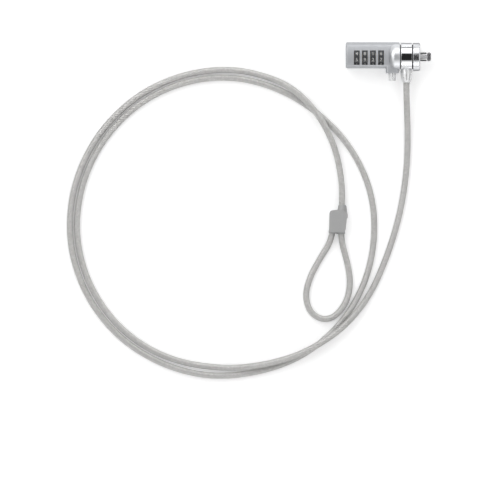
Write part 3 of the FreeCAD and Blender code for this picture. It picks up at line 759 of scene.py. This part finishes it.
@dataclass
class SecurityCable:
    """The wire rope in its clear jacket, from the ferrule to the end of its eye.

    Attributes:
        diameter: Outer diameter of the jacket.
        length: Length from the ferrule's mouth to the end in the sleeve; not used.
        leaves_at: Where the cable leaves the ferrule; not used.
        strand_radius: Radius of one strand.
        strand_circle: Radius of the circle that the strands' middles run on.
        strand_count: Strands in the rope.
        lay: Length in which a strand goes once round the rope.
        steps_per_lay: Points of a strand in one lay.
    """

    diameter: float = 4.4 * MM
    length: float = 1.545
    leaves_at: Point = (-9.35 * MM, -17.6 * MM, 0.0)
    strand_radius: float = 0.58 * MM
    strand_circle: float = 1.36 * MM
    strand_count: int = 6
    lay: float = 12.0 * MM
    steps_per_lay: int = 12

    def route_curve(self, name: str, thickness: float) -> bpy.types.Object:
        """The smooth line through the route, bare or as a tube.

        Args:
            name: The object's name.
            thickness: The tube's radius, or 0 for a bare line.

        Returns:
            The curve object.
        """
        curve = bpy.data.curves.new(name, "CURVE")
        curve.dimensions = "3D"
        curve.resolution_u = 14
        curve.bevel_depth = thickness
        curve.bevel_resolution = 8
        curve.use_fill_caps = True
        spline = curve.splines.new("NURBS")
        spline.points.add(len(ROUTE) - 1)
        for point, place in zip(spline.points, ROUTE):
            point.co = (*place, 1.0)
        spline.order_u = 3
        spline.use_endpoint_u = True
        return put_in_scene(name, curve)

    def centreline(self) -> list[Vector]:
        """Points of the route's own line, a fixed step apart."""
        line = self.route_curve("route_line", 0.0)
        bpy.context.view_layer.update()
        mesh = bpy.data.meshes.new_from_object(line)
        raw = [vertex.co.copy() for vertex in mesh.vertices]
        bpy.data.objects.remove(line)
        step = self.lay / self.steps_per_lay
        points, left = [raw[0]], step
        for start, end in zip(raw, raw[1:]):
            run = (end - start).length
            gone = left
            while gone <= run:
                points.append(start.lerp(end, gone / run))
                gone += step
            left = gone - run
        return points

    def strands(self) -> bpy.types.Object:
        """The strands as tubes that wind round the centreline."""
        points = self.centreline()
        curve = bpy.data.curves.new("strand_lines", "CURVE")
        curve.dimensions = "3D"
        curve.bevel_depth = self.strand_radius
        curve.bevel_resolution = 2
        curve.use_fill_caps = True
        splines = [curve.splines.new("POLY") for _ in range(self.strand_count)]
        for spline in splines:
            spline.points.add(len(points) - 1)
        heading = (points[1] - points[0]).normalized()
        side = heading.orthogonal().normalized()
        for index, place in enumerate(points):
            ahead = points[min(index + 1, len(points) - 1)] - points[max(index - 1, 0)]
            side = side.copy()
            side.rotate(heading.rotation_difference(ahead))
            heading = ahead.normalized()
            side = (side - heading * side.dot(heading)).normalized()
            across = heading.cross(side)
            for number, spline in enumerate(splines):
                angle = FULL_TURN * (index / self.steps_per_lay + number / self.strand_count)
                out = side * math.cos(angle) + across * math.sin(angle)
                spline.points[index].co = (*(place + out * self.strand_circle), 1.0)
        wound = put_in_scene("strand_lines", curve)
        bpy.context.view_layer.update()
        mesh = bpy.data.meshes.new_from_object(wound)
        bpy.data.objects.remove(wound)
        mesh.shade_smooth()
        return put_in_scene("cable_strands", mesh)

    def build(self, with_pieces: Sequence[bpy.types.Object | str]) -> None:
        """Args:
            with_pieces: The fittings on the cable; not used.
        """
        strands = self.strands()
        strands.data.materials.append(StrandSteel().material())
        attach(strands, "cable_end")
        jacket = self.route_curve("cable_jacket", self.diameter / 2)
        jacket.data.materials.append(ClearJacket().material())
        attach(jacket, "cable_end")
        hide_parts("security_cable")
        triangles = sum(len(face.vertices) - 2 for face in strands.data.polygons)
        LOG.info("cable: %d triangles in its strands", triangles)


@dataclass
class SwivelEnd:
    """The polished ring that turns on the barrel, and the ferrule that holds the cable.

    Attributes:
        back: The ring's back face along X, in millimetres like all below.
        front: The ring's front face.
        radius: The ring's outer radius.
        bore: The ring's bore radius.
        ferrule_x: The ferrule's middle along X.
        mouth: Where the ferrule ends along Y.
    """

    back: float = -13.02
    front: float = -5.68
    radius: float = 9.597
    bore: float = 7.2
    ferrule_x: float = -9.35
    mouth: float = -17.6

    def ring(self) -> bpy.types.Object:
        """The ring, with rounded rims."""
        flat = 0.32
        outline = [(self.back, self.bore), (self.back, self.radius), (self.back + flat, self.radius),
                   (self.front - flat, self.radius), (self.front, self.radius), (self.front, self.bore)]
        return piece_from("swivel_ring_polished", turned_form(outline, Axis.X, 144, soft=0.13 * MM))

    def ferrule(self) -> bpy.types.Object:
        """The ferrule, cut to the ring's round side, with the cable's way in."""
        outline = [(-7.6, 0.0), (-7.6, 4.05), (-9.6, 4.05), (-11.3, 4.02), (-12.8, 3.93), (-14.1, 3.77),
                   (-15.3, 3.56), (-16.3, 3.31), (-17.0, 3.06), (-17.4, 2.86), (self.mouth, 2.62),
                   (self.mouth, 2.34), (-17.3, 2.24), (-15.2, 2.24), (-15.2, 0.0)]
        form = turned_form(outline, Axis.Y, 96, offset=(self.ferrule_x * MM, 0.0, 0.0))
        piece = piece_from("cable_ferrule_turned", form, sharp=50.0)
        carve(piece, tube("ring_cut", (-0.02, 0, 0), (0, 0, 0), (self.radius - 0.02) * MM, 144))
        return piece

    def build(self) -> list[bpy.types.Object]:
        """Builds both pieces.

        Returns:
            The pieces that belong to the cable.
        """
        ring = finish_piece(self.ring(), "cable_end", CHROME, "swivel_ring")
        ferrule = finish_piece(self.ferrule(), "cable_end", BRIGHT_NICKEL, "cable_ferrule")
        LOG.info("swivel end: %s and %s", ring.name, ferrule.name)
        return [ferrule]


@dataclass
class MouldedSleeve:
    """The grey plastic sleeve over the crimp that closes the eye. Its outline is seen from above.

    Attributes:
        middle: The middle of the body, in millimetres like all below.
        outline: Corners of the body round that middle, from the lower left.
        height: How high the body stands on the floor.
        edge: Width of the long rounded edges.
        neck_x: Where the neck's axis is along X.
        neck_top: The neck's end along Y.
        axis_z: The height of the neck's axis.
        lips: The name, middle in metres and lean in degrees of each rim round the eye's two runs.
    """

    middle: tuple[float, float] = (-56.2, -112.4)
    outline: Outline = ((-6.05, -7.5), (4.6, -7.9), (5.45, -5.4), (6.1, 1.4), (6.25, 4.6), (5.6, 6.6),
                        (-0.3, 7.9), (-5.0, 7.2), (-5.75, 5.9))
    height: float = 7.8
    edge: float = 1.55
    neck_x: float = -53.2
    neck_top: float = -101.5
    axis_z: float = -6.1
    lips: tuple[tuple[str, Point, float], ...] = (
        ("exit_lip_left", (-0.0596, -0.1198, -0.0061), -6.0),
        ("exit_lip_right", (-0.0541, -0.1202, -0.0061), 4.0),
    )

    def body(self) -> bpy.types.Object:
        """The body: the outline drawn up from the floor, with soft moulded edges."""
        x, y = self.middle
        form = bmesh.new()
        verts = [form.verts.new(((x + dx) * MM, (y + dy) * MM, FLOOR_Z)) for dx, dy in self.outline]
        face = form.faces.new(verts)
        raised = bmesh.ops.extrude_face_region(form, geom=[face])
        top = [item for item in raised["geom"] if isinstance(item, bmesh.types.BMVert)]
        bmesh.ops.translate(form, vec=(0, 0, self.height * MM), verts=top)
        bmesh.ops.recalc_face_normals(form, faces=form.faces)
        soften(form, 1.1 * MM, 4, above=18.0, chosen=self.is_upright)
        soften(form, self.edge * MM, 5, above=60.0)
        return piece_from("moulded_sleeve", form, sharp=40.0)

    @staticmethod
    def is_upright(edge: bmesh.types.BMEdge) -> bool:
        """True for an edge that stands on the floor."""
        return abs(edge.verts[0].co.z - edge.verts[1].co.z) > 1 * MM

    def neck(self) -> bpy.types.Object:
        """The round neck where the long run of the cable goes in."""
        outline = [(self.neck_top, 2.24), (self.neck_top, 2.75), (self.neck_top - 0.6, 2.98),
                   (self.neck_top - 3.2, 3.28), (self.neck_top - 6.6, 3.75), (self.neck_top - 9.0, 3.8),
                   (self.neck_top - 9.0, 2.24)]
        form = turned_form(outline, Axis.Y, 64, soft=0.15 * MM,
                           offset=(self.neck_x * MM, 0.0, self.axis_z * MM))
        return piece_from("sleeve_neck", form, sharp=50.0)

    def lip(self, name: str, place: Point, lean: float) -> bpy.types.Object:
        """A raised rim round the cable where it leaves the sleeve.

        Args:
            name: The rim's name.
            place: The middle of the rim, in metres.
            lean: How far the cable leans from the Y axis there, in degrees.

        Returns:
            The rim.
        """
        outline = [(1.6, 2.48), (1.6, 3.0), (-0.5, 2.98), (-1.0, 2.8), (-1.0, 2.48)]
        form = turned_form(outline, Axis.Y, 48, soft=0.1 * MM)
        turn = Matrix.Translation(place) @ Matrix.Rotation(math.radians(lean), 4, "Z")
        bmesh.ops.transform(form, matrix=turn, verts=form.verts)
        return piece_from(name, form, sharp=50.0)

    def build(self) -> list[bpy.types.Object]:
        """Builds the sleeve's pieces.

        Returns:
            The pieces, all of them on the cable.
        """
        pieces = [
            finish_piece(self.body(), "cable_end", GREY_PLASTIC, "loop_sleeve"),
            finish_piece(self.neck(), "cable_end", GREY_PLASTIC),
        ]
        for name, place, lean in self.lips:
            pieces.append(finish_piece(self.lip(name, place, lean), "cable_end", GREY_PLASTIC))
        LOG.info("sleeve: %d pieces", len(pieces))
        return pieces


@dataclass
class RoundHead:
    """The chrome collar, the nose ring and the push button of the lock's round end, in millimetres.

    Attributes:
        radius: Outer radius of the collar and the nose.
        barrel: Radius of the barrel that they sit on.
        collar_front: The collar's front face.
        collar_back: The collar's hidden back.
        dome: Centre and radius of the collar's rounded back.
        nose_back: The nose ring's back face.
        button_x: Where the button stands along X.
        button_hole: Radius of the hole that the button slides in.
        pin_x: Where the nose's pin sits along X.
        pin_hole: Radius of the pin's hole.
    """

    radius: float = 9.597
    barrel: float = 7.1
    collar_front: float = -13.8
    collar_back: float = -21.6
    dome: tuple[float, float, float] = (-17.2, 5.0, 4.597)
    nose_back: float = -4.88
    button_x: float = -19.05
    button_hole: float = 2.66
    pin_x: float = -3.5
    pin_hole: float = 0.76

    def collar(self) -> bpy.types.Object:
        """The domed collar, with the button's way through its side."""
        x, r, size = self.dome
        rise = arc_outline((x, r), size, 163.0, 90.0, 18)
        outline = [(self.collar_back, 1.4), (self.collar_back, rise[0][1]), *rise,
                   (self.collar_front - 0.45, self.radius), (self.collar_front, self.radius),
                   (self.collar_front, self.barrel),
                   (-16.2, self.barrel), (-16.2, 7.3), (-20.9, 7.3), (-20.9, 1.4)]
        form = turned_form(outline, Axis.X, 160)
        soften(form, 0.25 * MM, 3, above=60.0,
               chosen=lambda edge: all(v.co.x > (self.collar_front - 0.01) * MM for v in edge.verts))
        piece = piece_from("front_collar_domed", form, sharp=40.0)
        x_m = self.button_x * MM
        carve(piece, tube("button_cut", (x_m, -0.012, 0), (x_m, -0.004, 0), self.button_hole * MM))
        return piece

    def nose(self) -> bpy.types.Object:
        """The ring that meets the computer's case."""
        rim = arc_outline((-1.0, self.radius - 1.0), 1.0, 90.0, 0.0, 8)
        outline = [(self.nose_back, self.barrel), (self.nose_back, self.radius),
                   (self.nose_back + 0.4, self.radius), (-1.25, self.radius), *rim, (0.0, 3.55),
                   (-2.0, 3.55), (-2.0, self.barrel)]
        form = turned_form(outline, Axis.X, 160)
        soften(form, 0.2 * MM, 3, above=60.0)
        piece = piece_from("nose_ring_turned", form, sharp=40.0)
        x_m = self.pin_x * MM
        carve(piece, tube("pin_cut", (x_m, 0, -0.0105), (x_m, 0, -0.0062), self.pin_hole * MM, 32))
        return piece

    def button(self) -> bpy.types.Object:
        """The push button, with a shallow dish in its tip."""
        outline = [(-9.0, 0.0), (-9.0, 2.6), (-11.3, 2.6), (-15.4, 2.48), (-16.0, 2.42), (-16.3, 2.24),
                   (-16.4, 1.98), (-16.3, 1.5), (-16.22, 0.7), (-16.2, 0.0)]
        form = turned_form(outline, Axis.Y, 72, offset=(self.button_x * MM, 0.0, 0.0))
        return piece_from("push_button_turned", form, sharp=35.0)

    def build(self) -> None:
        """Builds the pieces of the round end."""
        finish_piece(self.collar(), "lock", DOME_CHROME, "front_collar")
        finish_piece(self.nose(), "lock", SATIN_CHROME, "nose_ring")
        finish_piece(self.button(), "button", BRIGHT_NICKEL, "push_button")
        LOG.info("round head: collar, nose ring and push button")


@dataclass
class DialNumerals:
    """The numerals 0 to 9 round each dial's rim.

    Attributes:
        stations: Middle of each dial along X, in millimetres.
        radius: The dials' radius, in millimetres.
        height: Height of the text, in millimetres.
        relief: How far a numeral stands out of the rim, in millimetres.
        first: The angle of the first numeral from the top, in degrees.
        shown: The numeral at that angle on each dial.
        pitch: The angle from one numeral to the next, in degrees.
    """

    stations: tuple[float, ...] = (-43.4, -37.87, -32.34, -26.8)
    radius: float = 6.7
    height: float = 3.3
    relief: float = 0.05
    first: float = 18.0
    shown: tuple[int, ...] = (4, 8, 1, 6)
    pitch: float = 36.0

    def digit(self, value: int) -> bmesh.types.BMesh:
        """One flat numeral about the origin, in millimetres, sliced across so that it can bend."""
        curve = bpy.data.curves.new("digit", "FONT")
        curve.body = str(value)
        curve.size = self.height
        curve.extrude = self.relief
        curve.offset = 0.03
        curve.align_x, curve.align_y = "CENTER", "CENTER"
        text = put_in_scene("digit", curve)
        bpy.context.view_layer.update()
        form = bmesh.new()
        form.from_mesh(bpy.data.meshes.new_from_object(text))
        bpy.data.objects.remove(text)
        low, high = min(v.co.y for v in form.verts), max(v.co.y for v in form.verts)
        bmesh.ops.translate(form, vec=(0, -(low + high) / 2, 0), verts=form.verts)
        for index in range(-3, 4):
            bmesh.ops.bisect_plane(form, geom=[*form.verts, *form.edges, *form.faces],
                                   plane_co=(0, index * 0.4, 0), plane_no=(0, 1, 0))
        return form

    def ring_of(self, number: int, x: float) -> bpy.types.Object:
        """All ten numerals of one dial, bent round its rim.

        Args:
            number: The dial, from 0.
            x: The dial's middle along X, in millimetres.

        Returns:
            The numerals as one piece.
        """
        whole = bmesh.new()
        for step in range(10):
            form = self.digit((self.shown[number] - step) % 10)
            centre = math.radians(self.first + self.pitch * step)
            for vertex in form.verts:
                across, up, out = vertex.co
                angle = centre + up / self.radius
                reach = self.radius + out
                vertex.co = Vector((x + across, reach * math.sin(angle), reach * math.cos(angle))) * MM
            mesh = bpy.data.meshes.new("digit")
            form.to_mesh(mesh)
            form.free()
            whole.from_mesh(mesh)
            bpy.data.meshes.remove(mesh)
        return piece_from(f"dial_{number + 1}_numerals", whole)

    def build(self) -> None:
        """Builds the numerals of every dial."""
        for number, x in enumerate(self.stations):
            finish_piece(self.ring_of(number, x), f"dial_{number + 1}", NUMERAL_WHITE)
        LOG.info("numerals on %d dials", len(self.stations))


@dataclass
class MachinedParts:
    """The CAD nodes whose shape stays, each with its finish."""

    finishes: tuple[tuple[Finish, tuple[str, ...]], ...] = (
        (SATIN_ZINC, ("lock_housing", "end_cap", "bottom_cover")),
        (STEEL, ("cover_rivets", "swivel_barrel", "nose_pin", "locking_bar", "reset_screw", "cable_anchor")),
        (DARK_STEEL, ("guard_plate", "t_bar_spindle")),
        (SPRING_STEEL, ("detent_spring", "return_spring", "retaining_clip")),
        (BRASS, ("core_tube", "drive_pinion", "button_rack")),
        (BRASS, tuple(f"code_wheel_{number}" for number in range(1, 5))),
        (DIAL_BLACK, tuple(f"dial_{number}" for number in range(1, 5))),
        (BLACK_NYLON, ("rear_washer", "front_washer")),
        (SOFT_ALUMINIUM, ("loop_crimp",)),
    )

    def build(self) -> None:
        """Dresses each node."""
        for finish, nodes in self.finishes:
            for node in nodes:
                finish.dress(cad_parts[node])
            LOG.info("%s on %s", finish.name, ", ".join(nodes))


def main() -> None:
    """Builds the scene, sub-assembly by sub-assembly, and notes its size."""
    logging.basicConfig(level=logging.INFO, format="%(name)s: %(message)s")
    Studio().build()
    SHELF.build()
    fittings = SwivelEnd().build() + MouldedSleeve().build()
    SecurityCable().build([*fittings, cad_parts["cable_anchor"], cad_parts["loop_crimp"]])
    RoundHead().build()
    DialNumerals().build()
    MachinedParts().build()


if __name__ == "__main__":
    main()
